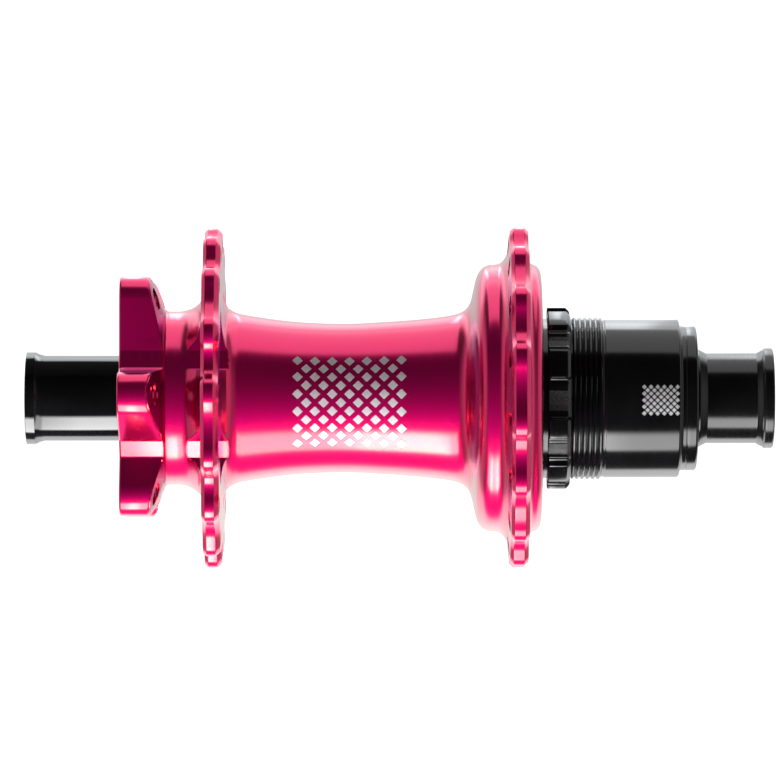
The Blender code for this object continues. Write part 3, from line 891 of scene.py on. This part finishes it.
def softboxes(shell, left_cap):
    """The shell, the left cap and the driver side are each lit by their own boxes, brightness over angle."""
    pieces = [ob for ob in bpy.context.scene.objects if ob.type == "MESH"]
    pink_parts = collection("lit_shell", [shell])
    others = collection("lit_other_parts", [ob for ob in pieces if ob is not shell])
    right_parts = collection("lit_all_but_left_cap", [ob for ob in pieces if ob is not left_cap])
    cap_only = collection("lit_left_cap", [left_cap])
    driver_side = collection("lit_driver_side", [ob for ob in pieces if ob not in (shell, left_cap)])

    def shell_strip(tree, x):
        level = tree.span(x, -0.06, -0.01, 21.0, 8.8, "SMOOTHSTEP")
        return tree.math("MULTIPLY", level, tree.span(x, -0.135, -0.10, 0.45, 1.0))

    def other_strip(tree, x):
        return tree.span(x, -0.07, 0.07, 14.0, 6.0)

    def short_on_the_left(tree, x):
        return tree.span(x, -0.21, -0.19, 0.0, 1.0)

    def stronger_over_driver(tree, x):
        near = tree.span(x, 0.0, 0.055, 1.0, 1.9, "SMOOTHSTEP")
        return tree.math("MULTIPLY", near, tree.span(x, 0.075, 0.10, 1.0, 0.4, "SMOOTHSTEP"))

    def brighter_over_neck_and_bell(tree, x):
        neck = tree.math("MULTIPLY", tree.span(x, -0.11, -0.085), tree.span(x, -0.056, -0.050, 1.0, 0.0))
        bell = tree.math("MULTIPLY", tree.span(x, 0.020, 0.026), tree.span(x, 0.045, 0.06, 1.0, 0.0))
        return tree.math("ADD", 0.6, tree.math("MULTIPLY", tree.math("ADD", neck, bell), 2.2))

    top = [(67, 0), (71, 1), (120, 1), (125, 0)]
    softbox("overhead_box", 0.50, 0.33, top, 1.08, WHITE, right_parts, short_on_the_left)
    for name, radius, low, colour, lit, along in (
            ("low_strip_for_shell", 0.49, -88, (1, 1, 0.30), pink_parts, shell_strip),
            ("low_strip", 0.48, -84, WHITE, driver_side, other_strip),
            ("low_strip_for_left_cap", 0.41, -98, WHITE, cap_only, other_strip)):
        strip = [(low, 0), (low + 5, 1), (-56, 1), (-48, 0)]
        softbox(name, radius, 0.20, strip, 1.0, colour, lit, along)
    under = [(-128, 0), (-118, 1), (-48, 1), (-40, 0)]
    softbox("under_fill_for_shell", 0.47, 0.33, under, 1.12, (1, 0, 0.72), pink_parts)
    front = [(-48, 0), (-40, 0.95), (-36, 0.86), (-24, 0.58), (-12, 0.37), (0, 0.26), (12, 0.17), (24, 0.125),
             (36, 0.09), (48, 0.078), (66, 0.075), (70, 0)]
    softbox("front_fill_for_shell", 0.46, 0.33, front, 1.0, (1, 0, 1.12), pink_parts)
    back = [(116, 0), (121, 1), (132, 0.96), (144, 0.42), (156, 0.2), (168, 0.35), (176, 0.2), (180, 0)]
    softbox("back_box", 0.45, 0.25, back, 2.6, (0.92, 0.97, 1.0), others, stronger_over_driver)
    high = [(125, 0), (130, 1), (147, 1), (153, 0)]
    softbox("high_back_for_shell", 0.42, 0.33, high, 1.0, WHITE, pink_parts, brighter_over_neck_and_bell)
    table = [(-180, 0.3), (-168, 0.4), (-156, 0.8), (-144, 1.4)]
    edge = [(-133, 1.6), (-128, 1.3), (-123, 0)]
    softbox("low_back_for_shell", 0.44, 0.33, table + edge, 0.85, (1, 1, 0.88), pink_parts)
    edge = [(-133, 2.3), (-128, 2.1), (-123, 0)]
    softbox("low_back", 0.43, 0.33, table + edge, 1.0, WHITE, others)


def white_finish(name, strength, diffuse):
    mat = bpy.data.materials.new(name)
    mat.use_nodes = True
    shader = mat.node_tree.nodes["Principled BSDF"]
    shader.inputs["Base Color"].default_value = (diffuse, diffuse, diffuse, 1)
    shader.inputs["Roughness"].default_value = 0.9
    shader.inputs["Specular IOR Level"].default_value = 0.0
    shader.inputs["Emission Color"].default_value = (*WHITE, 1)
    shader.inputs["Emission Strength"].default_value = strength
    return mat


def stage():
    """A plain white floor that the flanges stand on, and a white dome that only the camera sees."""
    for ob in (floor_piece(CAD_BOX[0][2]), dome_piece()):
        ob.visible_glossy = False
        ob.visible_shadow = False
        ob.visible_transmission = False
        ob.visible_diffuse = False


def floor_piece(low):
    """The floor, a hair below the lowest point of the part."""
    spot = Matrix.Translation((0, 0, low - 0.00002))
    bm = bmesh.new()
    bmesh.ops.create_circle(bm, cap_ends=True, radius=6.0, segments=96, matrix=spot)
    ob = finish_mesh("studio_floor", bm)
    ob.data.materials.append(white_finish("floor_white", strength=0.94, diffuse=0.8))
    return ob


def dome_piece():
    bm = bmesh.new()
    bmesh.ops.create_uvsphere(bm, u_segments=48, v_segments=24, radius=5.9)
    ob = finish_mesh("studio_dome", bm)
    ob.data.materials.append(white_finish("dome_white", strength=1.3, diffuse=0.0))
    return ob


def camera():
    """A long lens 1.15 m in front of the hub, looking straight at it."""
    data = bpy.data.cameras.new("camera")
    data.lens = 266.2
    data.sensor_width = 36.0
    data.clip_end = 50.0
    data.dof.use_dof = False
    ob = bpy.data.objects.new("camera", data)
    ob.location = (-1.61 * MM, -1.150, 1.3 * MM)
    ob.rotation_euler = (radians(90), 0, 0)
    bpy.context.scene.collection.objects.link(ob)
    bpy.context.scene.camera = ob


# ================================================================ assembly

def blast_valleys(driver):
    """Give the faces between the splines the blasted finish, the driver's second one."""
    for face in driver.data.polygons:
        c = face.center
        if 29.3 * MM < c.x < 33.75 * MM and hypot(c.y, c.z) < 16.72 * MM:
            face.material_index = 1


def main():
    bpy.context.scene.view_settings.view_transform = "Standard"
    pink = pink_finish()
    gloss = black_finish("black_anodised_gloss", 0.10, 0.15, 0.05, marked=True)
    polished = black_finish("black_anodised_polished", 0.05, 0.09, 0.02)
    satin = black_finish("black_anodised_turned", 0.13, 0.21, 0.16)
    blasted = blasted_finish()
    steel = metal_finish("bearing_steel_ground", (0.62, 0.62, 0.63), (0.54, 0.54, 0.56), 0.14, 0.24,
                         (3000, 150, 150))
    tool = metal_finish("tool_steel_ground", (0.36, 0.35, 0.36), (0.28, 0.28, 0.30), 0.26, 0.40,
                        (900, 900, 2400))
    raw = metal_finish("raw_aluminium_turned", (0.78, 0.78, 0.79), (0.70, 0.70, 0.71), 0.24, 0.38,
                       (3600, 140, 140))
    rubber = rubber_finish()

    shell = place(hub_shell(), ["hub_shell"], pink)
    mark = barrel_mark()
    mark.data.materials.append(etched_finish())
    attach(mark, frame["nodes"]["hub_shell"]["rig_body"])
    driver = place(freehub(), ["freehub_body"], gloss)
    driver.data.materials.append(blasted)
    blast_valleys(driver)

    left_cap = turned("left_end_cap", LEFT_CAP, polished, 0.12, 256)
    turned("right_end_cap", RIGHT_CAP, satin, 0.12, 256)
    turned("axle", AXLE, raw, 0.15, 192)
    for name, middle in (("left_end_cap_o_ring", -64.0), ("right_end_cap_o_ring", 64.0)):
        turned(name, arc(middle, 7.2, 0.36, 0, 342, 19), rubber, 0.0, 128)
    turned("left_dust_shield", DUST_SHIELD, rubber, 0.06, 192)
    turned("freehub_lip_seal", LIP_SEAL, rubber, 0.08, 192)
    turned("axle_step_spacer", STEP_SPACER, raw, 0.08)
    turned("freehub_bearing_spacer", BEARING_SPACER, raw, 0.12)
    for name in BEARINGS:
        bearing(name, steel, rubber)
    for name, node in frame["nodes"].items():
        if name == "ratchet_ring" or name.startswith("pawl"):
            finish = steel if "spring" in name else tool
        elif name == "freehub_retaining_clip":
            finish = steel
        else:
            continue
        for slot in node.material_slots:
            slot.material = finish

    studio_light()
    softboxes(shell, left_cap)
    stage()
    camera()


main()
